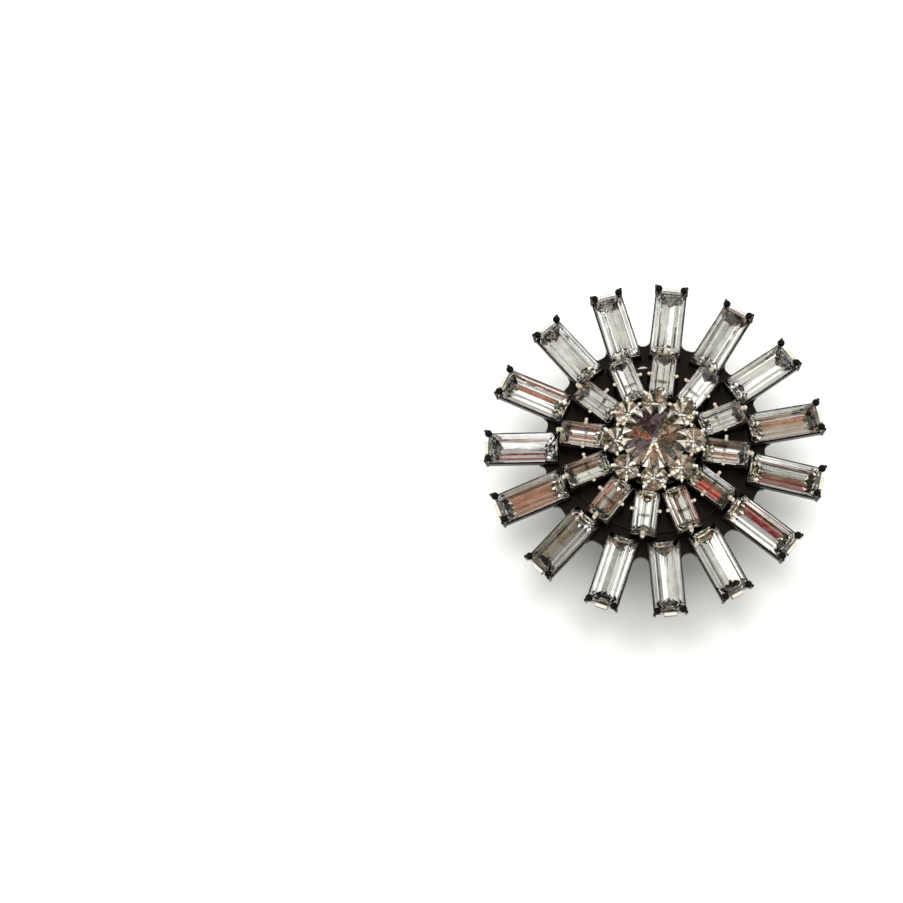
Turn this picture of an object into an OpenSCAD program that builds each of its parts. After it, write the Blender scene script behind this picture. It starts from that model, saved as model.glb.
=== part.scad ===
// Domed starburst ear clip in dark metal, set with clear baguette and round stones.
// It lies face up: +Z is the axis of the star, and the origin is on the surface that it
// rests on, under the middle of the star. +Y points to the bend of the clip.

/* [Outer tier] */
// Number of long baguettes
outer_count = 15; // [9:1:15]
// Length of a long baguette
outer_l = 7; // [5:0.5:8]
// Width of a long baguette
outer_w = 3; // [2.4:0.1:3]
// Radius at the outer ends of the long baguettes
outer_reach = 16.6; // [16.6:0.1:18]
// Height of a long baguette's girdle at its middle
outer_z = 9.15; // [9:0.05:9.3]
// Slope of the long baguettes, down toward the outside
outer_droop = 5; // [0:1:5]
// Direction of the first long baguette, in degrees
outer_turn = 85.3; // [0:0.1:360]

/* [Inner tier] */
// Number of short baguettes
inner_count = 12; // [6:1:12]
// Length of a short baguette
inner_l = 4.5; // [3.5:0.1:4.5]
// Width of a short baguette
inner_w = 2.4; // [1.8:0.1:2.4]
// Radius at the outer ends of the short baguettes
inner_reach = 9.35; // [9.2:0.05:9.35]
// Height of a short baguette's girdle
inner_z = 10.95; // [10.9:0.05:11]
// Direction of the first short baguette, in degrees
inner_turn = 84.4; // [0:0.1:360]

/* [Flower] */
// Number of small round stones
small_count = 8; // [5:1:8]
// Diameter of a small round stone
small_d = 2.54; // [2:0.02:2.6]
// Radius of the circle that the small round stones stand on
small_ring = 3.8; // [3.75:0.05:3.85]
// Height of a small round stone's girdle
small_z = 12.1; // [12.1:0.05:12.2]
// Direction of the first small round stone, in degrees
small_turn = 1.5; // [0:0.5:360]
// Diameter of the large round stone
centre_d = 5.7; // [5.4:0.1:5.8]
// Height of the large round stone's girdle
centre_z = 13.1; // [13.1:0.05:13.4]
// Number of teeth over the large round stone
tooth_count = 16; // [8:1:16]

/* [Metal] */
// Inner radius of the base ring
ring_inner_r = 8.2; // [7:0.1:8.4]
// Outer radius of the base ring
ring_outer_r = 11; // [10.8:0.1:11.2]
// Thickness of the base ring
ring_t = 0.5; // [0.4:0.1:0.6]
// Distance from the middle to each flat side of the inner plate
plate_flat_r = 8.54; // [8.45:0.01:8.7]
// Thickness of the inner plate
plate_t = 0.4; // [0.3:0.1:0.5]
// Radius of the rounded notches between the long settings
notch_r = 0.7; // [0.4:0.1:0.7]
// How far a setting stands out round its stone
rim = 0.1; // [0.05:0.01:0.1]
// How far a setting reaches in under the edge of its stone
ledge = 0.2; // [0.15:0.05:0.25]
// Depth of a long setting, from the girdle of its stone down
outer_depth = 2; // [1.8:0.1:2]
// Depth at which the walls of a long setting start to draw in
outer_wall = 1.15; // [1.1:0.05:1.3]
// Radius of the ball on each outer prong
outer_ball_r = 0.38; // [0.3:0.01:0.4]
// Width of the lip between the two outer prongs of a setting
lip_w = 1.25; // [0.8:0.05:1.6]
// Radius of the ball on each inner side prong
side_ball_r = 0.2; // [0.15:0.01:0.22]
// Radius of the ball on each inner end prong
end_ball_r = 0.26; // [0.2:0.01:0.28]

/* [Clip] */
// Height of the open space that the ear lobe goes into
lobe_gap = 6.4; // [6:0.1:6.4]
// Thickness of the clip's metal
strip_t = 0.8; // [0.8:0.1:1]
// Width of the clip's bent strip
strip_w = 6; // [5:0.5:7]
// Width of the round-ended paddle that the part rests on
paddle_w = 10; // [9:0.5:10]
// Reach of the paddle from the middle of the star
paddle_reach = 8; // [7:0.5:8]
// Radius of the pad that is fixed behind the star
pad_r = 5; // [4:0.5:6]

/* [Hand setting] */
// How far each long setting is bent round from its even place, in degrees
outer_swing = [0.5, -0.5, -0.5, 0, 0.5, -1, -0.5, 0.5, 0, -0.5, -0.5, 0.5, 0, 0.5, 0];
// How far each short setting is bent round from its even place, in degrees
inner_swing = [0.5, 0, 0, 0, -0.5, 0, 0.5, -0.5, 0, 0.5, -1, 0];

/* [Hidden] */
$fn = 48;
// Clearance between a stone and the metal that holds it
gap = 0.03;
// Half the height of a stone's straight-sided girdle
girdle_h = 0.1;
// Sizes of a baguette's cut, as shares of its width
crown_share = 0.17;
bevel_share = 0.17;
step_down_share = 0.2;
step_in_share = 0.15;
keel_down_share = 0.45;
keel_in_share = 0.5;
baguette_angle = atan(crown_share / bevel_share);
// Sizes of a round stone's cut, as shares of its diameter or radius
round_crown_share = 0.12;
round_table_share = 0.5;
round_mid_share = 0.6;
centre_pavilion = 2.3;
small_pavilion = 0.9;
small_r = small_d / 2;
centre_r = centre_d / 2;
small_angle = atan(round_mid_share * round_crown_share * small_d * 2 / (small_r * (1 - round_table_share)));
tooth_angle = atan(round_mid_share * round_crown_share * centre_d * 2 / (centre_r * (1 - round_table_share)));
// How far pieces of one solid run into each other
weld = 0.1;
// Small offset that keeps their faces from meeting edge to edge
step = 0.02;
// Heights of the stacked metal
plate_z = lobe_gap + 2 * strip_t;
ring_z = plate_z - ring_t;
plate_top = plate_z + plate_t;
// Top of a setting's wall, from the girdle of its stone, just under the stone's slope
wall_top = -(girdle_h + ledge * step_down_share / step_in_share + gap);
floor_t = 0.4;
// How far above the outside the inside of a long setting starts to draw in
hollow_in = 0.15;
// How much the outer end of a short setting is cut back, clear of the long settings
end_cut = 0.15;
// Where the prongs stand and how far their balls reach in
post_out = gap;
outer_post_r = 0.16;
outer_post_foot = 0.05 - outer_wall;
lip_t = 0.36;
lip_top = -0.05;
end_inset = 0.1;
corner_inset = 0.23;
side_prong_reach = 6.94;
side_post_r = 0.16;
side_inset = 0.11;
end_post_r = 0.2;
end_bead_inset = 0.07;
tab_w = 0.5;
tab_t = 0.3;
tab_in = ledge - step;
// Round notch that shows as a bright crescent past the inner plate
eyelet_r = 0.7;
eyelet_reach = 9.03;
// Metal of the flower
flower_base_z = inner_z;
flower_base_r = 4.4;
stem_r = 3.6;
cup_rim = 0.11;
cup_foot_r = 0.75;
cup_drop = 0.1;
cup_top = -(girdle_h + cup_drop);
bead_r = 0.2;
bead_post_r = 0.13;
bead_inset = 0.1;
bead_post_foot = 0.3;
bead_turn = 45;
centre_cup_r = 2.4;
centre_rim = 0.22;
centre_rim_r = centre_r + centre_rim;
seat_drop = 0.05;
seat_point_r = 0.05;
flare_h = 0.55;
flare_drop = 0.25;
tooth_l = 1.08;
tooth_w = 1.14;
tooth_t = 0.14;
// Clip
bend_y = 5.5;
paddle_north = 0.5;

function pad2(i) = i < 10 ? str("0", i) : str(i);
function outer_name(i) = str("outer_stone_", pad2(i + 1));
function inner_name(i) = str("inner_stone_", pad2(i + 1));
function round_name(i) = str("round_stone_", i + 1);

// Places a long baguette or its setting: +X points outward and z = 0 is the girdle
module at_outer(i) {
    rotate([0, 0, outer_turn + i * 360 / outer_count + outer_swing[i]])
        translate([outer_reach - outer_l / 2, 0, outer_z])
            rotate([0, outer_droop, 0])
                children();
}

// Places a short baguette or its setting in the same way
module at_inner(i) {
    rotate([0, 0, inner_turn + i * 360 / inner_count + inner_swing[i]])
        translate([inner_reach - inner_l / 2, 0, inner_z])
            children();
}

// Places a small round stone or its cup, with z = 0 at the girdle
module at_small(i) {
    rotate([0, 0, small_turn + i * 360 / small_count])
        translate([small_ring, 0, small_z])
            children();
}

// A step-cut baguette round its middle, with its length along X
module baguette(l, w) {
    crown = crown_share * w;
    bevel = bevel_share * w;
    step_in = step_in_share * w;
    step_down = step_down_share * w;
    keel_half = l / 2 - keel_in_share * w;
    function ring4(hl, hw, z) = [[hl, hw, z], [-hl, hw, z], [-hl, -hw, z], [hl, -hw, z]];
    points = concat(
        ring4(l / 2 - bevel, w / 2 - bevel, girdle_h + crown),
        ring4(l / 2, w / 2, girdle_h),
        ring4(l / 2, w / 2, -girdle_h),
        ring4(l / 2 - step_in, w / 2 - step_in, -girdle_h - step_down),
        [[keel_half, 0, -girdle_h - keel_down_share * w], [-keel_half, 0, -girdle_h - keel_down_share * w]]
    );
    sides = [for (r = [0 : 2]) for (k = [0 : 3])
        [4 * r + k, 4 * r + (k + 1) % 4, 4 * r + 4 + (k + 1) % 4, 4 * r + 4 + k]];
    keel = [[12, 13, 17, 16], [13, 14, 17], [14, 15, 16, 17], [15, 12, 16]];
    polyhedron(points, concat([[3, 2, 1, 0]], sides, keel));
}

// A brilliant-cut round stone: 16 points in each ring, and every second one may stand further out
module brilliant(r, crown, pavilion, table_r) {
    n = 16;
    flat = cos(360 / n);
    mid_r = (r + table_r) / 2;
    function ring16(even, odd, z) = [for (k = [0 : n - 1])
        [(k % 2 == 0 ? even : odd) * cos(k * 360 / n), (k % 2 == 0 ? even : odd) * sin(k * 360 / n), z]];
    points = concat(
        ring16(table_r, table_r * flat, girdle_h + crown),
        ring16(mid_r * flat, mid_r, girdle_h + crown * round_mid_share),
        ring16(r, r, girdle_h),
        ring16(r, r, -girdle_h),
        [[0, 0, -girdle_h - pavilion]]
    );
    top = [for (k = [0 : n - 1]) n - 1 - k];
    // each band is cut into triangles that meet at the ring's even or odd points
    band = [for (b = [0 : 2]) for (k = [0 : n - 1]) let (m = (k + 1) % n, u = b * n, v = (b + 1) * n)
        each (k + b) % 2 == 0
            ? [[u + k, u + m, v + k], [u + m, v + m, v + k]]
            : [[u + k, u + m, v + m], [u + k, v + m, v + k]]];
    bottom = [for (k = [0 : n - 1]) [3 * n + k, 3 * n + (k + 1) % n, 4 * n]];
    polyhedron(points, concat([top], band, bottom));
}

// Height of a ball's centre over the girdle, so that it just clears a crown of the given slope
function ball_rise(ball_r, inset, angle) =
    girdle_h + (ball_r + gap + inset * sin(angle)) / cos(angle);

// A prong: a straight post outside the stone and a ball bent in over its edge
module prong(post, ball, post_r, ball_r, foot, rise) {
    translate([post[0], post[1], foot])
        cylinder(r = post_r, h = rise - foot);
    translate([ball[0], ball[1], rise])
        sphere(r = ball_r);
}

// Flat outline of the base ring, with the rounded corners where the settings leave it
module ring_outline() {
    half = outer_w / 2 + rim;
    cy = half + notch_r;
    cx = sqrt(pow(ring_outer_r + notch_r, 2) - cy * cy);
    share = (ring_outer_r - weld) / (ring_outer_r + notch_r);
    difference() {
        circle(r = ring_outer_r);
        circle(r = ring_inner_r);
    }
    for (i = [0 : outer_count - 1])
        rotate(outer_turn + i * 360 / outer_count + outer_swing[i])
            for (side = [-1, 1])
                scale([1, side])
                    difference() {
                        polygon([[cx, -weld], [cx, cy], share * [cx, cy], [share * cx, -weld]]);
                        translate([cx, cy]) circle(r = notch_r);
                    }
}

// A box along X whose long lower edges and outer lower edge are cut away at 45 degrees
module tub(inner_x, outer_x, half, top, straight, bottom) {
    cut = straight - bottom;
    intersection() {
        translate([inner_x, 0, 0])
            rotate([90, 0, 90])
                linear_extrude(outer_x - inner_x + step)
                    polygon([[-half, top], [-half, straight], [cut - half, bottom],
                        [half - cut, bottom], [half, straight], [half, top]]);
        translate([0, half + step, 0])
            rotate([90, 0, 0])
                linear_extrude(2 * (half + step))
                    polygon([[inner_x - step, top + step], [inner_x - step, bottom - step],
                        [outer_x - cut - step, bottom - step], [outer_x, straight], [outer_x, top + step]]);
    }
}

// A closed trough that holds a long baguette by the edge, flush with the stone at the inner end
module trough_block() {
    tub(-outer_l / 2, outer_l / 2 + rim, outer_w / 2 + rim, wall_top, -outer_wall, -outer_depth);
}

module trough_hollow() {
    tub(-outer_l / 2 + ledge, outer_l / 2 - ledge, outer_w / 2 - ledge,
        outer_depth, hollow_in - outer_wall, floor_t - outer_depth);
}

// Base ring with the long settings, their corner prongs and the lip between these
module outer_frame() {
    rise = ball_rise(outer_ball_r, end_inset, baguette_angle);
    color([0.16, 0.14, 0.13]) {
        difference() {
            union() {
                translate([0, 0, ring_z]) linear_extrude(ring_t) ring_outline();
                for (i = [0 : outer_count - 1])
                    at_outer(i) trough_block();
            }
            for (i = [0 : outer_count - 1])
                at_outer(i) trough_hollow();
            // round notch in the ring's inner edge, half hidden by the inner plate
            rotate([0, 0, inner_turn + 180 / inner_count])
                translate([eyelet_reach - eyelet_r, 0, ring_z - weld])
                    cylinder(r = eyelet_r, h = ring_t + 2 * weld);
        }
        for (i = [0 : outer_count - 1])
            at_outer(i) {
                translate([outer_l / 2 + gap, -lip_w / 2, outer_post_foot])
                    cube([lip_t, lip_w, lip_top - outer_post_foot]);
                for (side = [-1, 1])
                    prong([outer_l / 2 + post_out + outer_post_r, side * (outer_w / 2 + rim / 2)],
                        [outer_l / 2 - end_inset, side * (outer_w / 2 - corner_inset)],
                        outer_post_r, outer_ball_r, outer_post_foot, rise);
            }
    }
}

// Rectangles of the short settings, smaller than the stones by inset all round, and cut short outside
module inner_outline(inset, cut) {
    l = inner_l - 2 * inset - cut;
    w = inner_w - 2 * inset;
    for (i = [0 : inner_count - 1])
        rotate(inner_turn + i * 360 / inner_count + inner_swing[i])
            translate([inner_reach - inner_l + inset, -w / 2]) square([l, w]);
}

// Raised plate with the short settings, their side prongs and end prongs
module inner_frame() {
    tab_z = wall_top - tab_t - weld / 2;
    side_rise = ball_rise(side_ball_r, side_inset, baguette_angle);
    end_rise = ball_rise(end_ball_r, end_bead_inset, baguette_angle);
    side_x = side_prong_reach - (inner_reach - inner_l / 2);
    color([0.2, 0.16, 0.14]) {
        translate([0, 0, plate_z])
            linear_extrude(plate_t) {
                rotate(inner_turn) circle(r = plate_flat_r / cos(180 / inner_count), $fn = inner_count);
                inner_outline(0, end_cut);
            }
        translate([0, 0, plate_z + plate_t / 2])
            linear_extrude(inner_z + wall_top - plate_z - plate_t / 2)
                difference() {
                    inner_outline(-rim, end_cut);
                    inner_outline(ledge, 0);
                }
        for (i = [0 : inner_count - 1])
            at_inner(i) {
                for (side = [-1, 1])
                    prong([side_x, side * (inner_w / 2 + gap + side_post_r)],
                        [side_x, side * (inner_w / 2 - side_inset)],
                        side_post_r, side_ball_r, plate_z - inner_z + plate_t / 2, side_rise);
                translate([inner_l / 2 - tab_in, -tab_w / 2, tab_z])
                    cube([tab_in + gap + end_post_r, tab_w, tab_t]);
                prong([inner_l / 2 + gap + end_post_r, 0], [inner_l / 2 - end_bead_inset, 0],
                    end_post_r, end_ball_r, tab_z, end_rise);
            }
    }
}

// One cup of the flower, below z = 0 at the girdle of its stone
module small_cup() {
    foot_z = flower_base_z - small_z + weld / 2;
    translate([0, 0, foot_z])
        cylinder(r1 = cup_foot_r, r2 = small_r + cup_rim, h = cup_top - foot_z);
}

// The cone that the back of a round stone sits in, a little below it
module seat(r, pavilion) {
    translate([0, 0, -girdle_h - pavilion - seat_drop])
        cylinder(r1 = seat_point_r, r2 = r, h = pavilion);
}

// Outside of the large cup: a straight neck, a flare, and the rim that the teeth grow from
module centre_cup() {
    flare_z = centre_z - flare_h - flare_drop;
    neck_z = flower_base_z + weld;
    translate([0, 0, neck_z])
        cylinder(r = centre_cup_r, h = flare_z + weld / 2 - neck_z);
    translate([0, 0, flare_z])
        cylinder(r1 = centre_cup_r - weld / 2, r2 = centre_rim_r, h = flare_h);
    translate([0, 0, centre_z - flare_drop - step])
        cylinder(r = centre_rim_r, h = flare_drop + girdle_h + 2 * step);
}

// A tooth of the large cup, bent in over the crown of the stone
module tooth() {
    translate([centre_rim_r, 0, centre_z + girdle_h + gap - (centre_rim_r - centre_r) * tan(tooth_angle)])
        rotate([0, tooth_angle, 0])
            linear_extrude(tooth_t)
                polygon([[0, -tooth_w / 2], [0, tooth_w / 2], [-tooth_l, 0]]);
}

// Raised middle: stem, small cups with bead prongs, and the sawtooth cup of the large stone
module flower_setting() {
    bead_rise = ball_rise(bead_r, bead_inset, small_angle);
    post = small_r + gap + bead_post_r;
    color([0.75, 0.74, 0.72]) {
        difference() {
            union() {
                translate([0, 0, plate_top]) cylinder(r = stem_r, h = flower_base_z + weld - plate_top);
                translate([0, 0, flower_base_z]) cylinder(r = flower_base_r, h = 2 * weld);
                for (i = [0 : small_count - 1]) at_small(i) small_cup();
                centre_cup();
            }
            for (i = [0 : small_count - 1]) at_small(i) seat(small_r, small_pavilion);
            translate([0, 0, centre_z]) {
                seat(centre_r, centre_pavilion);
                translate([0, 0, -girdle_h - seat_drop - step / 2]) cylinder(r = centre_r + gap, h = flare_h);
            }
        }
        for (i = [0 : tooth_count - 1])
            rotate([0, 0, (i + 0.5) * 360 / tooth_count]) tooth();
        for (i = [0 : small_count - 1]) {
            at_small(i)
                for (side = [-bead_turn, bead_turn])
                    rotate([0, 0, side])
                        prong([post, 0], [small_r - bead_inset, 0], bead_post_r, bead_r,
                            cup_top - bead_post_foot, bead_rise);
            // a thicker bead stands between each two cups
            rotate([0, 0, small_turn + (i + 0.5) * 360 / small_count])
                translate([small_ring + weld, 0, small_z])
                    prong([0, 0], [0, 0], bead_r - step, bead_r, flower_base_z + weld - small_z, bead_r);
        }
    }
}

// Hidden clip: a pad behind the star, a bent strip and a round-ended paddle in one piece
module ear_clip() {
    bend_r = plate_z / 2;
    paddle_r = paddle_w / 2;
    paddle_south = paddle_r - paddle_reach;
    color([0.3, 0.28, 0.27]) {
        translate([0, 0, plate_z - strip_t]) cylinder(r = pad_r, h = strip_t);
        translate([-strip_w / 2, 0, plate_z - strip_t]) cube([strip_w, bend_y, strip_t]);
        translate([-strip_w / 2, bend_y, bend_r])
            rotate([90, 0, 90])
                rotate([0, 0, -90])
                    rotate_extrude(angle = 180)
                        translate([bend_r - strip_t, 0]) square([strip_t, strip_w]);
        translate([-strip_w / 2, 0, 0]) cube([strip_w, bend_y, strip_t]);
        for (y = [paddle_south, paddle_north])
            translate([0, y, 0]) cylinder(r = paddle_r, h = strip_t);
        translate([-paddle_r, paddle_south, 0])
            cube([paddle_w, paddle_north - paddle_south, strip_t]);
    }
}

module outer_stone(i) {
    color([0.86, 0.86, 0.84]) at_outer(i) baguette(outer_l, outer_w);
}

module inner_stone(i) {
    color([0.86, 0.85, 0.83]) at_inner(i) baguette(inner_l, inner_w);
}

module round_stone(i) {
    color([0.85, 0.82, 0.76])
        at_small(i)
            brilliant(small_r, round_crown_share * small_d, small_pavilion, round_table_share * small_r);
}

module centre_stone() {
    color([0.6, 0.5, 0.48])
        translate([0, 0, centre_z])
            brilliant(centre_r, round_crown_share * centre_d, centre_pavilion, round_table_share * centre_r);
}

outer_frame();
inner_frame();
flower_setting();
ear_clip();
centre_stone();
for (i = [0 : outer_count - 1])
    outer_stone(i);
for (i = [0 : inner_count - 1])
    inner_stone(i);
for (i = [0 : small_count - 1])
    round_stone(i);
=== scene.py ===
import math
import random

import bmesh
import bpy
import numpy as np
from mathutils import Matrix, Vector


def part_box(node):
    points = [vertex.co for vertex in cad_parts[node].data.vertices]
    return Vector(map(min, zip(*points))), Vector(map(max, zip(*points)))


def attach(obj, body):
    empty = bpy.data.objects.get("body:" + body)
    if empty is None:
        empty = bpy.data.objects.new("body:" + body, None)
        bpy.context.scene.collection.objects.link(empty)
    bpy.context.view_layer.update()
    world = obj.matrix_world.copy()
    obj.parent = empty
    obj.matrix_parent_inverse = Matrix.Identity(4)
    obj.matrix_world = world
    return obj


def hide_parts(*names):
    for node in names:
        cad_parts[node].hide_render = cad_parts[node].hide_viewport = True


MM = 0.001
SEED = 5
BAGUETTE_SEED = 3

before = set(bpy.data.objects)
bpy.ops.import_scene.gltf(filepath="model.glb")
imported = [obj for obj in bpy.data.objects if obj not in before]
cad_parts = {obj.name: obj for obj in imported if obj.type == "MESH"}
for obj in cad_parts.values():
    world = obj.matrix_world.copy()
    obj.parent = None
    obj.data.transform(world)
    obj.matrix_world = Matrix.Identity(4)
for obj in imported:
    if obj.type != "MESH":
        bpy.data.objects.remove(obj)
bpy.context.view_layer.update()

# Camera: the photograph's own view, in metres from the origin under the star
IMAGE_PX = 903
FOCAL_PX = 2000
SENSOR_MM = 36.0
CAMERA_PLACE = Vector((0.0, -0.05157, 0.20284))
CAMERA_RIGHT = Vector((0.99435, 0.05796, -0.0889))
CAMERA_UP = Vector((-0.0335, 0.96629, 0.25528))

# Teeth of the large cup: how many, above which level, from which reach to which, twice the height of
# the ridge along each, and the share of its width that is painted bright, a painted highlight
TEETH = 16
TOOTH_LEVEL = 13.1 * MM
TOOTH_TIP = 2.05 * MM
TOOTH_FOOT = 3.07 * MM
TOOTH_RIDGE = 0.5 * MM
TOOTH_CORE = 0.72
# The beads of the small cups lie beyond this reach, and their tops are painted bright over this span
# above this level, a painted highlight
BEAD_REACH = 3.2 * MM
BEAD_LEVEL = 12.05 * MM
BEAD_SPAN = 0.1 * MM
# The same for the painted highlights on the bead tops of the short settings
SHORT_BEAD_LEVEL = 11.05 * MM
SHORT_BEAD_SPAN = 0.12 * MM
# The lips between the outer prongs: beyond this reach, below this level and where they face up at least
# this much, they are painted with this share of bare metal, a painted highlight on their level tops
LIP_REACH = 16.58 * MM
LIP_TOP = 9.2 * MM
LIP_UPRIGHT = 0.9
LIP_SHINE = 0.9
# Metal: scales of the mottling and the grain, radius of the worn edges, depth of the grain and dents
METAL_MOTTLE = 900.0
METAL_GRAIN = 5200.0
SILVER_MOTTLE = 1500.0
FRAME_EDGE = 0.05 * MM
SILVER_EDGE = 0.04 * MM
BEVEL_SAMPLES = 6
GRAIN_DEPTH = 0.01 * MM
GRAIN_STRENGTH = 0.25
SILVER_DENT = 0.004 * MM
# How far the mottling takes a metal's body and its roughness, as shares
BODY_DARK = 0.6
BODY_LIGHT = 1.5
ROUGH_LOW = 0.8
ROUGH_HIGH = 1.25
# Foil: scales of the fine lines, along and across a stone, and of the clouds, depth of the lines, and the
# share of light that a facet sends back when it isn't the first one met
LINES_ALONG = 150.0
LINES_ACROSS = 4200.0
CLOUD_SCALE = 700.0
LINE_DEPTH = 0.002 * MM
MIRROR = 0.95
# A ray that has bounced more often than the first shows metal as seen through a stone, where the silver
# is painted bright as painted light, and one that has bounced more often than the second isn't the first
# to meet foil or glass
THROUGH_STONE = 1.5
MET_BEFORE = 0.5
# Glass: its index of refraction, how strong its gloss is, and the scale of the smudges on it
GLASS_IOR = 1.54
GLASS_GLOSS = 0.25
SMUDGE_SCALE = 700.0
# Cut of the stones: half the girdle's height, and the crown of a baguette as a share of its width
GIRDLE_HALF = 0.1 * MM
CROWN_SHARE = 0.17
# Each ring of a baguette, from the table down: how far in, how much of its corners is cut and its level,
# as shares of the width, and whether the level counts from the girdle's upper (1) or lower edge (-1)
BAGUETTE_RINGS = [
    (CROWN_SHARE, 0.06, CROWN_SHARE, 1),
    (0.0, 0.07, 0.0, 1),
    (0.0, 0.07, 0.0, -1),
    (0.11, 0.08, -0.125, -1),
    (0.19, 0.09, -0.21, -1),
    (0.33, 0.07, -0.322, -1),
]
# How many corners a ring has, and the first ring with facets of foil under it
SIDES = 8
FOIL_RING = 2
# The keel under the last ring: how far in its ends lie, and how deep, as shares of the width
KEEL_IN = 0.5
KEEL_DOWN = 0.45
# Tones of the foils, as the share of light that they send back. Painted on the facets, they are painted
# reflections and glints, and the darkest ones painted shade
WHITE = (1.0, 1.0, 1.0)
CREAM = (0.95, 0.88, 0.72)
PALE = (0.54, 0.54, 0.5)
SILVER = (0.34, 0.345, 0.32)
MID = (0.17, 0.16, 0.14)
DIM = (0.055, 0.047, 0.036)
BLACK = (0.005, 0.004, 0.003)
BROWN = (0.155, 0.088, 0.052)
OLIVE = (0.17, 0.14, 0.08)
SAND = (0.36, 0.25, 0.175)
PINK = (0.31, 0.155, 0.1)
RUST = (0.34, 0.11, 0.065)
CORAL = (0.5, 0.1, 0.055)
WINE = (0.16, 0.018, 0.026)
MAUVE = (0.08, 0.04, 0.045)
COOL = (0.6, 0.66, 0.7)
# Families of painted reflections on the baguettes: the tones from which those of the facets along a stone
# are drawn
PALE_REFLECTIONS = [WHITE, WHITE, PALE, PALE, PALE, SILVER]
GREY_REFLECTIONS = [WHITE, PALE, SILVER, MID, OLIVE, DIM]
WARM_REFLECTIONS = [PINK, SAND, BROWN, SILVER, PALE, WHITE]
RED_REFLECTIONS = [WINE, CORAL, PINK, BROWN, SILVER, PALE, WHITE, WHITE]
# The family of painted reflections of each baguette, as its colour looks as a whole, counter-clockwise
# from the top one
LONG_FAMILIES = [
    PALE_REFLECTIONS, PALE_REFLECTIONS, PALE_REFLECTIONS, WARM_REFLECTIONS, RED_REFLECTIONS, WARM_REFLECTIONS, GREY_REFLECTIONS, PALE_REFLECTIONS,
    PALE_REFLECTIONS, PALE_REFLECTIONS, RED_REFLECTIONS, RED_REFLECTIONS, WARM_REFLECTIONS, PALE_REFLECTIONS, PALE_REFLECTIONS,
]
SHORT_FAMILIES = [
    PALE_REFLECTIONS, PALE_REFLECTIONS, PALE_REFLECTIONS, WARM_REFLECTIONS, WARM_REFLECTIONS, WARM_REFLECTIONS,
    PALE_REFLECTIONS, RED_REFLECTIONS, RED_REFLECTIONS, WARM_REFLECTIONS, PALE_REFLECTIONS, PALE_REFLECTIONS,
]
# How many facets lie along a baguette, and the tones from which those of its outer end, of the tip inside
# the outer end and of its inner end are drawn. All are painted reflections: glints at both ends and a
# darker tip
FACETS_ALONG = 6
OUTER_END_TONES = [CREAM, PALE, SAND, SILVER]
TIP_TONES = [DIM, DIM, MID]
INNER_END_TONES = [CREAM, CREAM, PALE, WHITE]
# Tones of the centre stone's eight sectors, counter-clockwise from the east: its long facet outside and
# by the culet, then its two wide ones. They are painted reflections and glints
CENTRE_TONES = [
    (BROWN, CREAM, SAND, OLIVE),
    (MAUVE, MAUVE, MAUVE, MAUVE),
    (MAUVE, MAUVE, MAUVE, BROWN),
    (CORAL, RUST, BROWN, MAUVE),
    (MAUVE, MAUVE, MAUVE, BROWN),
    (CREAM, PALE, PINK, BROWN),
    (CREAM, CREAM, BROWN, DIM),
    (BROWN, WHITE, DIM, BROWN),
]
# Tones from which those of the small stones' sectors are drawn: for the outer part of the long facet,
# for the first wide facet, and for both others. They are painted glints and reflections
GLINT_TONES = [WHITE, WHITE, CREAM, PALE, BROWN, DIM]
DARK_TONES = [DIM, OLIVE, BROWN, OLIVE, SAND, SAND, PINK]
LIGHT_TONES = [WHITE, CREAM, CREAM, PALE, SAND, OLIVE]

# Cut of the round stones: how many sectors, and the rest as shares of the radius or the depth
SECTORS = 8
TABLE_SHARE = 0.53
STAR_SHARE = 0.8
LOWER_SHARE = 0.13
ROUND_CROWN_SHARE = 0.24
CULET_SHARE = 0.1
# How many small stones stand round the centre one
SMALL_STONES = 8
# Corners that agree to this many decimal places of a metre are one: of a cut stone, and of a CAD stone
WELD_PLACES = 8
CAD_PLACES = 7

# Floor: half its side in metres, and its surface
FLOOR_HALF = 3.0
FLOOR_COLOUR = (0.86, 0.86, 0.845, 1.0)
FLOOR_ROUGHNESS = 0.7
FLOOR_GLOSS = 0.2
# The soft window: where it is and what it faces, its size in metres, its power in watts, its colour
WINDOW_PLACE = (0.0, 0.18, 0.48)
WINDOW_TARGET = (0.0, 0.0, 0.0)
WINDOW_SIZE = 0.46
WINDOW_POWER = 3.4
WINDOW_COLOUR = (1.0, 1.0, 0.985)
# The room: its strength, its tone as seen directly and by matt surfaces, and its tone in the gloss of the
# stones' upper facets
WORLD_STRENGTH = 0.75
PLAIN_ROOM = (0.92, 0.92, 0.9)
GLOSS_ROOM = (0.35, 0.34, 0.32)
# What metal and foil mirror low down: cells of this scale, in tones along a ramp
ROOM_CELLS = 4.0
CELL_TONES = [
    (0.0, (0.02, 0.015, 0.012)),
    (0.3, (0.1, 0.07, 0.055)),
    (0.5, (0.35, 0.3, 0.25)),
    (0.7, (1.0, 0.97, 0.9)),
    (1.0, (2.4, 2.35, 2.2)),
]
# The tone that they mirror overhead, which comes in between these two heights of a direction
OVERHEAD_FROM = 0.5
OVERHEAD_FULL = 0.62
OVERHEAD = (1.76, 1.74, 1.66)
# Tones of the patches that they mirror
LAMP = (3.0, 2.95, 2.8)
UMBER_ROOM = (0.6, 0.5, 0.42)
WINE_ROOM = (0.22, 0.07, 0.07)
CORAL_ROOM = (0.8, 0.3, 0.2)
SAND_ROOM = (0.5, 0.38, 0.28)
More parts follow.
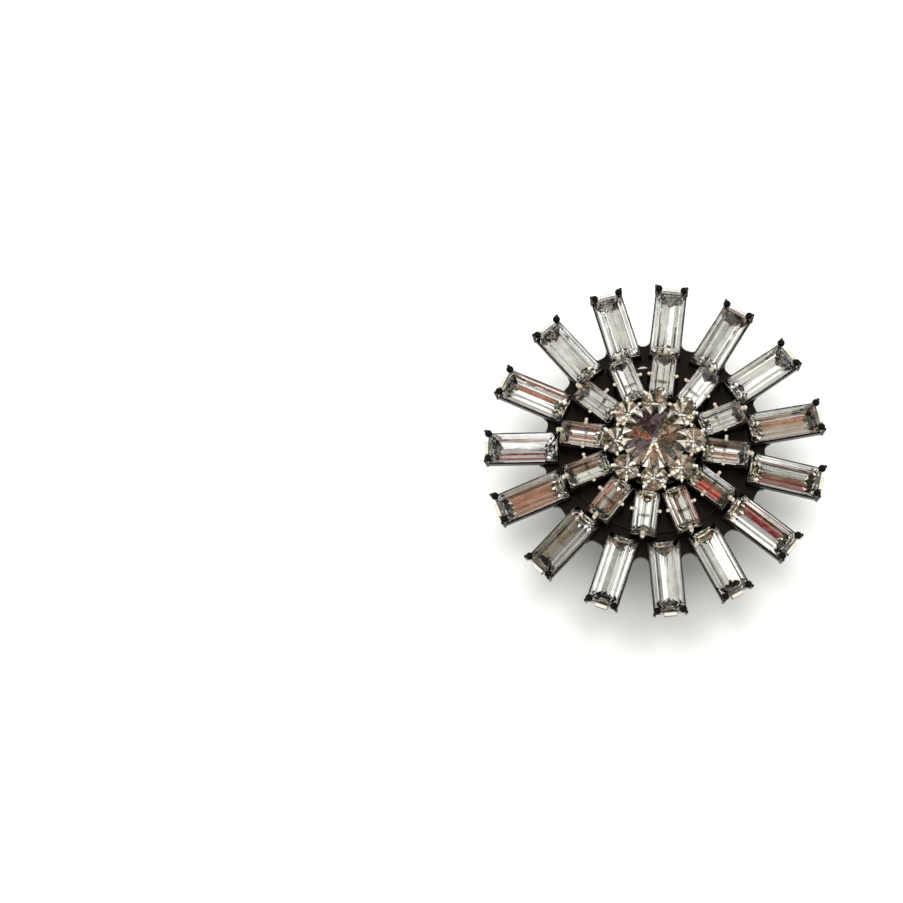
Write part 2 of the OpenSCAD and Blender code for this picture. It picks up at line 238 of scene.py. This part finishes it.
# The patches: azimuth and elevation, inner and outer radius, all in degrees, and the tone
MIRRORED = [
    (-90, 14, 24, 40, UMBER_ROOM),
    (-64, 30, 8, 14, SAND_ROOM),
    (-88, 26, 8, 13, WINE_ROOM),
    (-116, 34, 7, 12, WINE_ROOM),
    (-75, 12, 8, 14, CORAL_ROOM),
    (-108, 14, 8, 14, CORAL_ROOM),
    (-154, 32, 10, 16, LAMP),
    (20, 35, 6, 9, LAMP),
    (100, 30, 7, 10, LAMP),
    (-30, 25, 6, 10, LAMP),
]


# Camera

def add_camera():
    """The photograph's camera. The earring lies right of the middle of its view."""
    data = bpy.data.cameras.new("camera")
    data.sensor_width = SENSOR_MM
    data.lens = FOCAL_PX / IMAGE_PX * SENSOR_MM
    data.clip_start = 0.01
    camera = bpy.data.objects.new("camera", data)
    right = CAMERA_RIGHT.normalized()
    back = right.cross(CAMERA_UP).normalized()
    up = back.cross(right)
    turn = Matrix((right, up, back)).transposed().to_4x4()
    camera.matrix_world = Matrix.Translation(CAMERA_PLACE) @ turn
    bpy.context.scene.collection.objects.link(camera)
    bpy.context.scene.camera = camera


# Node helpers

def new_material(name):
    """A new material, its node tree and the Principled shader in it."""
    material = bpy.data.materials.new(name)
    material.use_nodes = True
    tree = material.node_tree
    tree.nodes.clear()
    shader = tree.nodes.new("ShaderNodeBsdfPrincipled")
    output = tree.nodes.new("ShaderNodeOutputMaterial")
    tree.links.new(shader.outputs["BSDF"], output.inputs["Surface"])
    return material, tree, shader


def node(tree, kind, **inputs):
    """A node of the given kind. An input is a value, or an output socket to link."""
    made = tree.nodes.new(kind)
    for key, value in inputs.items():
        place = made.inputs[int(key[1:])] if key[0] == "_" else made.inputs[key.replace("_", " ")]
        if isinstance(value, bpy.types.NodeSocket):
            tree.links.new(value, place)
        else:
            place.default_value = value
    return made


def ramp(tree, source, stops):
    """A colour ramp over source, from (place, colour) stops."""
    made = node(tree, "ShaderNodeValToRGB", Fac=source)
    made.color_ramp.elements.remove(made.color_ramp.elements[0])
    first = made.color_ramp.elements[0]
    first.position, first.color = stops[0][0], (*stops[0][1], 1)
    for place, colour in stops[1:]:
        made.color_ramp.elements.new(place).color = (*colour, 1)
    return made.outputs["Color"]


def grey(value):
    return (value, value, value)


def math_node(tree, operation, first, second=0.0):
    made = node(tree, "ShaderNodeMath", _0=first, _1=second)
    made.operation = operation
    return made.outputs[0]


def mix_colour(tree, share, first, second, blend="MIX"):
    """first where share is 0, second, or its blend with first, where it is 1."""
    made = tree.nodes.new("ShaderNodeMix")
    made.data_type = "RGBA"
    made.blend_type = blend
    for place, value in ((0, share), (6, first), (7, second)):
        if isinstance(value, bpy.types.NodeSocket):
            tree.links.new(value, made.inputs[place])
        else:
            made.inputs[place].default_value = value if place == 0 else (*value, 1)
    return made.outputs[2]


def noise(tree, place, scale, detail, roughness=0.5):
    made = node(tree, "ShaderNodeTexNoise", Vector=place, Scale=scale, Detail=detail, Roughness=roughness)
    return made.outputs[0]


# Metal

def reach_of(tree, place):
    """Distance of a place from the star's axis."""
    flat = node(tree, "ShaderNodeVectorMath", _0=place, _1=(1.0, 1.0, 0.0))
    flat.operation = "MULTIPLY"
    reach = node(tree, "ShaderNodeVectorMath", _0=flat.outputs[0])
    reach.operation = "LENGTH"
    return reach.outputs["Value"]


def rise(tree, value, start, span):
    """0 up to start, 1 from start + span on."""
    made = math_node(tree, "DIVIDE", math_node(tree, "SUBTRACT", value, start), span)
    made.node.use_clamp = True
    return made


def lip_tops(tree, place, normal, facing):
    """1 on the level tops of the lips between the outer prongs, inside their edges, where a painted
    highlight goes.
    """
    height = node(tree, "ShaderNodeSeparateXYZ", Vector=place).outputs["Z"]
    outside = math_node(tree, "GREATER_THAN", reach_of(tree, place), LIP_REACH)
    low = math_node(tree, "LESS_THAN", height, LIP_TOP)
    facing_up = node(tree, "ShaderNodeSeparateXYZ", Vector=normal).outputs["Z"]
    level = math_node(tree, "GREATER_THAN", facing_up, LIP_UPRIGHT)
    lip = math_node(tree, "MULTIPLY", math_node(tree, "MULTIPLY", outside, low), level)
    inner = ramp(tree, facing, [(0.97, grey(0.0)), (0.995, grey(1.0))])
    return math_node(tree, "MULTIPLY", lip, inner)


def metal_with_wear_and_highlights(name, body, bare_and_highlight, roughness, wear, bead_from=None, painted_lip_highlight=False):
    """Plated metal: mottled satin body, bare on worn edges, and, where asked, bead tops above a level and
    the lips' level tops painted bare as painted highlights.
    """
    material, tree, shader = new_material(name)
    shader.inputs["Metallic"].default_value = 1.0
    place = node(tree, "ShaderNodeTexCoord").outputs["Object"]
    mottle = noise(tree, place, METAL_MOTTLE, 6.0, 0.65)
    grain = noise(tree, place, METAL_GRAIN, 4.0)
    rounded = node(tree, "ShaderNodeBevel", Radius=FRAME_EDGE)
    rounded.samples = BEVEL_SAMPLES
    normal = node(tree, "ShaderNodeNewGeometry").outputs["Normal"]
    facing = node(tree, "ShaderNodeVectorMath", _0=rounded.outputs[0], _1=normal)
    facing.operation = "DOT_PRODUCT"
    edge = math_node(tree, "SUBTRACT", 1.0, facing.outputs["Value"])
    edge = math_node(tree, "MULTIPLY", edge, mottle)
    wear_and_highlight = ramp(tree, edge, [(0.02, grey(0.0)), (0.16, grey(1.0))])
    wear_and_highlight = math_node(tree, "MULTIPLY", wear_and_highlight, wear)
    body_tones = [tuple(share * c for c in body) for share in (BODY_DARK, BODY_LIGHT)]
    dark = mix_colour(tree, mottle, *body_tones)
    # Bead tops above a level are painted bare: a painted highlight
    if bead_from is not None:
        height = node(tree, "ShaderNodeSeparateXYZ", Vector=place).outputs["Z"]
        wear_and_highlight = math_node(tree, "MAXIMUM", wear_and_highlight, rise(tree, height, bead_from, SHORT_BEAD_SPAN))
    # The lips' level tops are painted bare: a painted highlight
    if painted_lip_highlight:
        lip = lip_tops(tree, place, normal, facing.outputs["Value"])
        wear_and_highlight = math_node(tree, "MAXIMUM", wear_and_highlight, math_node(tree, "MULTIPLY", lip, LIP_SHINE))
    colour = mix_colour(tree, wear_and_highlight, dark, bare_and_highlight)
    tree.links.new(colour, shader.inputs["Base Color"])
    rough = ramp(tree, mottle, [(0.3, grey(roughness * ROUGH_LOW)), (0.7, grey(roughness * ROUGH_HIGH))])
    tree.links.new(rough, shader.inputs["Roughness"])
    bump = node(tree, "ShaderNodeBump", Height=grain, Normal=rounded.outputs[0], Strength=GRAIN_STRENGTH,
                Distance=GRAIN_DEPTH)
    tree.links.new(bump.outputs[0], shader.inputs["Normal"])
    return material


def dark_silver_painted_highlights(name):
    """Dark plated cups, with painted highlights on the middles of the teeth and on the bead tops. Seen
    through a stone, all of it is painted bright.
    """
    material, tree, shader = new_material(name)
    shader.inputs["Metallic"].default_value = 1.0
    place = node(tree, "ShaderNodeTexCoord").outputs["Object"]
    mottle = noise(tree, place, SILVER_MOTTLE, 5.0, 0.6)
    rounded = node(tree, "ShaderNodeBevel", Radius=SILVER_EDGE)
    rounded.samples = BEVEL_SAMPLES
    parts = node(tree, "ShaderNodeSeparateXYZ", Vector=place).outputs
    reach = reach_of(tree, place)
    # Across a tooth: 0 at its sides and 0.5 on its ridge, or the other way round
    turn = math_node(tree, "ARCTAN2", parts["Y"], parts["X"])
    turn = math_node(tree, "MULTIPLY", turn, TEETH / math.tau)
    ridge = math_node(tree, "PINGPONG", turn, 0.5)
    aside = math_node(tree, "SUBTRACT", 0.5, ridge)
    # The painted highlight in the middle of a tooth, which widens from its tip to its foot
    from_tip = math_node(tree, "SUBTRACT", reach, TOOTH_TIP)
    half_width = math_node(tree, "DIVIDE", from_tip, 2 * (TOOTH_FOOT - TOOTH_TIP))
    tooth_highlight = math_node(tree, "SUBTRACT", math_node(tree, "MULTIPLY", half_width, TOOTH_CORE), aside)
    tooth_highlight = ramp(tree, tooth_highlight, [(0.0, grey(0.0)), (0.06, grey(1.0))])
    on_tooth = math_node(tree, "GREATER_THAN", parts["Z"], TOOTH_LEVEL)
    tooth_highlight = math_node(tree, "MULTIPLY", tooth_highlight, on_tooth)
    # Bead tops above a level are painted bright: a painted highlight
    outside = math_node(tree, "GREATER_THAN", reach, BEAD_REACH)
    above = rise(tree, parts["Z"], BEAD_LEVEL, BEAD_SPAN)
    bare_and_highlight = math_node(tree, "MAXIMUM", tooth_highlight, math_node(tree, "MULTIPLY", outside, above))
    # Metal seen through a stone is painted bright: painted light
    depth = node(tree, "ShaderNodeLightPath").outputs["Ray Depth"]
    bare_and_highlight = math_node(tree, "MAXIMUM", bare_and_highlight, math_node(tree, "GREATER_THAN", depth, THROUGH_STONE))
    dark = ramp(tree, mottle, [(0.35, (0.01, 0.008, 0.006)), (0.5, (0.03, 0.024, 0.018)),
                               (0.68, (0.3, 0.26, 0.2))])
    light = ramp(tree, mottle, [(0.35, (0.7, 0.66, 0.55)), (0.6, (0.97, 0.95, 0.87))])
    tree.links.new(mix_colour(tree, bare_and_highlight, dark, light), shader.inputs["Base Color"])
    rough = ramp(tree, mottle, [(0.3, grey(0.12)), (0.7, grey(0.26))])
    tree.links.new(rough, shader.inputs["Roughness"])
    height = math_node(tree, "MULTIPLY", math_node(tree, "MULTIPLY", ridge, on_tooth), TOOTH_RIDGE)
    height = math_node(tree, "ADD", height, math_node(tree, "MULTIPLY", mottle, SILVER_DENT))
    bump = node(tree, "ShaderNodeBump", Height=height, Normal=rounded.outputs[0], Strength=1.0,
                Distance=1.0)
    tree.links.new(bump.outputs[0], shader.inputs["Normal"])
    return material


# Glass and foil

def cut_glass():
    """The polished upper facets of a stone."""
    material, tree, shader = new_material("cut_glass")
    shader.inputs["Base Color"].default_value = (1.0, 1.0, 1.0, 1.0)
    shader.inputs["Transmission Weight"].default_value = 1.0
    shader.inputs["IOR"].default_value = GLASS_IOR
    shader.inputs["Specular IOR Level"].default_value = GLASS_GLOSS
    place = node(tree, "ShaderNodeTexCoord").outputs["Object"]
    smudge = noise(tree, place, SMUDGE_SCALE, 5.0)
    rough = ramp(tree, smudge, [(0.5, grey(0.0)), (0.8, grey(0.06))])
    tree.links.new(rough, shader.inputs["Roughness"])
    return material


def foil():
    """The foil under a stone: the painted tone of the facet seen first, a painted reflection, with fine
    painted lines, then a plain mirror.
    """
    material, tree, shader = new_material("foil")
    shader.inputs["Metallic"].default_value = 1.0
    local = node(tree, "ShaderNodeAttribute")
    local.attribute_name = "stone_place"
    painted_tone = node(tree, "ShaderNodeAttribute")
    painted_tone.attribute_name = "painted_facet_tone"
    scales = (LINES_ALONG, LINES_ACROSS, LINES_ACROSS)
    stretched = node(tree, "ShaderNodeVectorMath", _0=local.outputs["Vector"], _1=scales)
    stretched.operation = "MULTIPLY"
    streaks = noise(tree, stretched.outputs[0], 1.0, 3.0)
    cloud = noise(tree, local.outputs["Vector"], CLOUD_SCALE, 2.0)
    # Fine bright and dark lines painted over the tone: painted highlight lines and painted shade lines
    light_line = ramp(tree, streaks, [(0.64, grey(0.0)), (0.7, grey(0.6))])
    dark_line = ramp(tree, streaks, [(0.385, grey(0.9)), (0.44, grey(0.0))])
    colour = mix_colour(tree, light_line, painted_tone.outputs["Color"], PALE)
    colour = mix_colour(tree, dark_line, colour, BLACK)
    cloudy = ramp(tree, cloud, [(0.35, grey(0.8)), (0.6, grey(1.0))])
    colour = mix_colour(tree, 1.0, colour, cloudy, "MULTIPLY")
    depth = node(tree, "ShaderNodeLightPath").outputs["Glossy Depth"]
    later = math_node(tree, "GREATER_THAN", depth, MET_BEFORE)
    tree.links.new(mix_colour(tree, later, colour, grey(MIRROR)), shader.inputs["Base Color"])
    rough = ramp(tree, streaks, [(0.35, grey(0.08)), (0.6, grey(0.03))])
    tree.links.new(rough, shader.inputs["Roughness"])
    bump = node(tree, "ShaderNodeBump", Height=streaks, Strength=1.0, Distance=LINE_DEPTH)
    tree.links.new(bump.outputs[0], shader.inputs["Normal"])
    return material


def stone_axes(name):
    """A CAD baguette: middle of its girdle, directions along, across and up, its length and its width."""
    corners = [v.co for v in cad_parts[name].data.vertices]
    points = np.unique(np.round(corners, CAD_PLACES), axis=0)
    middle = points.mean(0)
    axes = np.linalg.eigh(np.cov((points - middle).T))[1]
    up = Vector(axes[:, 0]) * math.copysign(1.0, axes[2, 0])
    along = Vector(axes[:, 2])
    along *= math.copysign(1.0, along.dot(Vector((middle[0], middle[1], 0.0))))
    across = up.cross(along)
    spans = [(points - middle) @ np.array(axis) for axis in (along, across, up)]
    length, width = (float(np.ptp(span)) for span in spans[:2])
    centre = Vector(middle)
    for axis, span in zip((along, across), spans):
        centre += axis * float(span.max() + span.min()) / 2
    centre += up * (float(spans[2].max()) - CROWN_SHARE * width - GIRDLE_HALF)
    return centre, along, across, up, length, width


def make_stone(name, place, facets):
    """A stone in place of a CAD stone, from facets given as (points, is it foil, painted tone), the
    painted tone being a painted reflection on foil.
    """
    made = bmesh.new()
    painted_tone = made.loops.layers.float_color.new("painted_facet_tone")
    local = made.verts.layers.float_vector.new("stone_place")
    corners = {}
    for points, is_foil, colour in facets:
        loop = []
        for point in points:
            key = tuple(round(c, WELD_PLACES) for c in point)
            if key not in corners:
                corners[key] = made.verts.new(place @ Vector(point))
                corners[key][local] = point
            if corners[key] not in loop:
                loop.append(corners[key])
        face = made.faces.new(loop)
        face.material_index = 1 if is_foil else 0
        for corner in face.loops:
            corner[painted_tone] = (*colour, 1.0)
    bmesh.ops.recalc_face_normals(made, faces=made.faces)
    mesh = bpy.data.meshes.new("cut_" + name)
    made.to_mesh(mesh)
    made.free()
    mesh.materials.append(GLASS)
    mesh.materials.append(FOIL)
    piece = bpy.data.objects.new("cut_" + name, mesh)
    bpy.context.scene.collection.objects.link(piece)
    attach(piece, "root")
    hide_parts(name)


def cut_rectangle(half_l, half_w, corner, z):
    """A rectangle with cut corners, as eight points, counter-clockwise from the outer end."""
    near = [(half_l, half_w - corner), (half_l - corner, half_w)]
    left = near + [(-x, y) for x, y in reversed(near)]
    return [(x, y, z) for x, y in left + [(x, -y) for x, y in reversed(left)]]


def facet_tone(step, side, tones):
    """Painted tone of a facet below the girdle, a painted reflection: step 0 to 3 from the girdle down,
    side 0 to 7 round the stone.
    Sides 1 and 5 are the long ones, 7 is the outer end, 3 the inner end, and the others are corners."""
    *along, outer_end, tip, inner_end = tones
    # The girdle band is painted black: a painted shadow, the dark outline between stone and setting
    if step == 0:
        return BLACK
    if side == 1:
        return along[step - 1]
    if side == 5:
        return along[6 - step]
    # At the tip, the inner end and the corners, the darker tones are painted shade: dark outlines between
    # painted glints
    if side == 7:
        return tip if step > 1 else outer_end
    if side == 3:
        return OLIVE if step == 2 else inner_end
    if side in (0, 6):
        return DIM if step == 2 else outer_end
    return inner_end if step == 2 else DIM


def draw_tones(draw, family):
    """Painted reflection tones of one baguette: along it, at its outer end, at the tip inside that, and
    at its inner end.
    """
    along = [draw.choice(family) for _ in range(FACETS_ALONG)]
    return along + [draw.choice(tones) for tones in (OUTER_END_TONES, TIP_TONES, INNER_END_TONES)]


def add_baguette(name, tones):
    """A step-cut stone in place of a CAD baguette."""
    centre, along, across, up, length, width = stone_axes(name)
    place = Matrix.Translation(centre) @ Matrix((along, across, up)).transposed().to_4x4()
    rings = []
    for inset, corner, level, edge in BAGUETTE_RINGS:
        half_l, half_w = length / 2 - inset * width, width / 2 - inset * width
        rings.append(cut_rectangle(half_l, half_w, corner * width, level * width + edge * GIRDLE_HALF))
    keel_x = length / 2 - KEEL_IN * width
    keel_z = -KEEL_DOWN * width - GIRDLE_HALF
    ends = [(keel_x, 0.0, keel_z), (-keel_x, 0.0, keel_z)]
    rings.append([ends[0], ends[0], ends[1], ends[1], ends[1], ends[1], ends[0], ends[0]])
    facets = [(rings[0], False, WHITE)]
    for number, (upper, lower) in enumerate(zip(rings, rings[1:])):
        is_foil = number >= FOIL_RING
        for k in range(SIDES):
            m = (k + 1) % SIDES
            tone = facet_tone(number - FOIL_RING, k, tones) if is_foil else WHITE
            facets.append(([upper[k], lower[k], lower[m], upper[m]], is_foil, tone))
    make_stone(name, place, facets)


def ring_of(radius, count, shift, z):
    """Points round a circle, the first one shifted by a share of their spacing."""
    angles = [(k + shift) * math.tau / count for k in range(count)]
    return [(radius * math.cos(angle), radius * math.sin(angle), z) for angle in angles]


def add_round(name, turn, tones):
    """A brilliant-cut stone in place of a CAD round stone, with four painted reflection tones for each of
    its sectors.
    """
    low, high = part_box(name)
    r = (high.x - low.x) / 2
    crown = ROUND_CROWN_SHARE * r
    girdle_z = high.z - crown - GIRDLE_HALF
    depth = girdle_z - GIRDLE_HALF - low.z
    centre = Vector(((low.x + high.x) / 2, (low.y + high.y) / 2, girdle_z))
    place = Matrix.Translation(centre) @ Matrix.Rotation(turn, 4, "Z")
    # How far out the middle of a sector's side lies, as a share of its corners' distance
    side_share = math.cos(math.pi / SECTORS)
    table_r = TABLE_SHARE * r
    star_z = GIRDLE_HALF + crown * (r - STAR_SHARE * r * side_share) / (r - table_r)
    lower_z = -GIRDLE_HALF - (1 - LOWER_SHARE * side_share) * depth
    table = ring_of(table_r, SECTORS, 0.0, GIRDLE_HALF + crown)
    star = ring_of(STAR_SHARE * r, SECTORS, 0.5, star_z)
    top = ring_of(r, 2 * SECTORS, 0.0, GIRDLE_HALF)
    bottom = ring_of(r, 2 * SECTORS, 0.0, -GIRDLE_HALF)
    lower = ring_of(LOWER_SHARE * r, SECTORS, 0.5, lower_z)
    culet = ring_of(CULET_SHARE * r, SECTORS, 0.0, -GIRDLE_HALF - (1 - CULET_SHARE) * depth)
    # The culet is painted a cool tone: a painted glint
    facets = [(table, False, WHITE), (culet, True, COOL)]
    for k in range(SECTORS):
        m = (k + 1) % SECTORS
        long_tone, inner_tone, first_tone, second_tone = tones[k]
        start, middle, end = 2 * k, 2 * k + 1, 2 * m
        facets += [
            ([table[k], table[m], star[k]], False, WHITE),
            ([table[k], star[k - 1], top[start], star[k]], False, WHITE),
            ([star[k], top[start], top[middle]], False, WHITE),
            ([star[k], top[middle], top[end]], False, WHITE),
            ([bottom[start], lower[k - 1], culet[k], lower[k]], True, long_tone),
            ([lower[k], culet[k], culet[m]], True, inner_tone),
            ([bottom[start], lower[k], bottom[middle]], True, first_tone),
            ([bottom[middle], lower[k], bottom[end]], True, second_tone),
        ]
    for k in range(2 * SECTORS):
        m = (k + 1) % (2 * SECTORS)
        facets.append(([top[k], bottom[k], bottom[m], top[m]], False, WHITE))
    make_stone(name, place, facets)


# Floor, light and surroundings

def add_floor():
    """A plain pale floor, big enough to reach the horizon of any view."""
    mesh = bpy.data.meshes.new("floor")
    corners = [(-FLOOR_HALF, -FLOOR_HALF, 0), (FLOOR_HALF, -FLOOR_HALF, 0),
               (FLOOR_HALF, FLOOR_HALF, 0), (-FLOOR_HALF, FLOOR_HALF, 0)]
    mesh.from_pydata(corners, [], [(0, 1, 2, 3)])
    floor = bpy.data.objects.new("floor", mesh)
    bpy.context.scene.collection.objects.link(floor)
    material, tree, shader = new_material("pale_floor")
    shader.inputs["Base Color"].default_value = FLOOR_COLOUR
    shader.inputs["Roughness"].default_value = FLOOR_ROUGHNESS
    shader.inputs["Specular IOR Level"].default_value = FLOOR_GLOSS
    mesh.materials.append(material)


def direction(azimuth, elevation):
    """Unit vector at an azimuth from +X, counter-clockwise, and an elevation, in degrees."""
    a, e = math.radians(azimuth), math.radians(elevation)
    return Vector((math.cos(a) * math.cos(e), math.sin(a) * math.cos(e), math.sin(e)))


def patch(tree, way, toward, inner, outer):
    """1 within inner degrees of a direction, 0 beyond outer degrees."""
    dot = node(tree, "ShaderNodeVectorMath", _0=way, _1=tuple(toward))
    dot.operation = "DOT_PRODUCT"
    made = node(tree, "ShaderNodeMapRange", _0=dot.outputs["Value"])
    made.interpolation_type = "SMOOTHSTEP"
    made.inputs[1].default_value = math.cos(math.radians(outer))
    made.inputs[2].default_value = math.cos(math.radians(inner))
    return made.outputs[0]


def add_world():
    """A soft pale room. Metal and foil mirror a bright tone overhead, and cells and patches of tones
    lower down. The sharp gloss of the glass mirrors a dimmer room."""
    world = bpy.data.worlds.new("room")
    bpy.context.scene.world = world
    world.use_nodes = True
    tree = world.node_tree
    tree.nodes.clear()
    way = node(tree, "ShaderNodeTexCoord").outputs["Generated"]
    height = node(tree, "ShaderNodeSeparateXYZ", Vector=way).outputs["Z"]
    cells = node(tree, "ShaderNodeTexVoronoi", Vector=way, Scale=ROOM_CELLS)
    shade = node(tree, "ShaderNodeSeparateColor", Color=cells.outputs["Color"]).outputs[0]
    low = ramp(tree, shade, CELL_TONES)
    overhead = ramp(tree, height, [(OVERHEAD_FROM, grey(0.0)), (OVERHEAD_FULL, grey(1.0))])
    colour = mix_colour(tree, overhead, low, OVERHEAD)
    for azimuth, elevation, inner, outer, tone in MIRRORED:
        share = patch(tree, way, direction(azimuth, elevation), inner, outer)
        colour = mix_colour(tree, share, colour, tone)
    seen = node(tree, "ShaderNodeLightPath").outputs
    outside = math_node(tree, "LESS_THAN", seen["Transmission Depth"], MET_BEFORE)
    gloss = math_node(tree, "MULTIPLY", seen["Is Glossy Ray"], seen["Is Singular Ray"])
    colour = mix_colour(tree, math_node(tree, "MULTIPLY", outside, gloss), colour, GLOSS_ROOM)
    mirrored = math_node(tree, "MAXIMUM", seen["Is Glossy Ray"], seen["Is Transmission Ray"])
    final = mix_colour(tree, mirrored, PLAIN_ROOM, colour)
    background = node(tree, "ShaderNodeBackground", Color=final, Strength=WORLD_STRENGTH)
    output = node(tree, "ShaderNodeOutputWorld")
    tree.links.new(background.outputs[0], output.inputs["Surface"])


def add_light(name, place, toward, size, power, colour):
    data = bpy.data.lights.new(name, "AREA")
    data.shape = "DISK"
    data.size = size
    data.energy = power
    data.color = colour
    light = bpy.data.objects.new(name, data)
    light.location = place
    light.visible_glossy = False
    light.visible_transmission = False
    light.rotation_euler = (Vector(toward) - Vector(place)).to_track_quat("-Z", "Y").to_euler()
    bpy.context.scene.collection.objects.link(light)


GLASS = cut_glass()
FOIL = foil()

add_camera()
add_floor()
add_world()
add_light("window", WINDOW_PLACE, WINDOW_TARGET, WINDOW_SIZE, WINDOW_POWER, WINDOW_COLOUR)

METALS = {
    # The outer frame's lip tops and the inner frame's bead tops are painted bare as painted highlights
    "outer_frame": metal_with_wear_and_highlights("black_metal", body=(0.013, 0.011, 0.009), bare_and_highlight=(0.85, 0.8, 0.7),
                              roughness=0.32, wear=0.4, painted_lip_highlight=True),
    "inner_frame": metal_with_wear_and_highlights("brown_metal", body=(0.014, 0.01, 0.008), bare_and_highlight=(0.62, 0.57, 0.48),
                              roughness=0.3, wear=0.5, bead_from=SHORT_BEAD_LEVEL),
    "flower_setting": dark_silver_painted_highlights("silver_metal"),
    "ear_clip": metal_with_wear_and_highlights("clip_metal", body=(0.16, 0.15, 0.14), bare_and_highlight=(0.4, 0.38, 0.35),
                           roughness=0.34, wear=0.5),
}
for name, material in METALS.items():
    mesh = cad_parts[name].data
    mesh.materials.clear()
    mesh.materials.append(material)

baguette_chance = random.Random(BAGUETTE_SEED)
for i, family in enumerate(LONG_FAMILIES, 1):
    add_baguette(f"outer_stone_{i:02d}", draw_tones(baguette_chance, family))
for i, family in enumerate(SHORT_FAMILIES, 1):
    add_baguette(f"inner_stone_{i:02d}", draw_tones(baguette_chance, family))
chance = random.Random(SEED)
choices = (GLINT_TONES, LIGHT_TONES, DARK_TONES, LIGHT_TONES)
for i in range(1, SMALL_STONES + 1):
    sectors = [tuple(chance.choice(tones) for tones in choices) for _ in range(SECTORS)]
    add_round(f"round_stone_{i}", 0.0, sectors)
add_round("centre_stone", math.pi / SECTORS, CENTRE_TONES)

scene = bpy.context.scene
scene.view_settings.view_transform = "Standard"
scene.cycles.max_bounces = 16
scene.cycles.transmission_bounces = 12
scene.cycles.glossy_bounces = 10
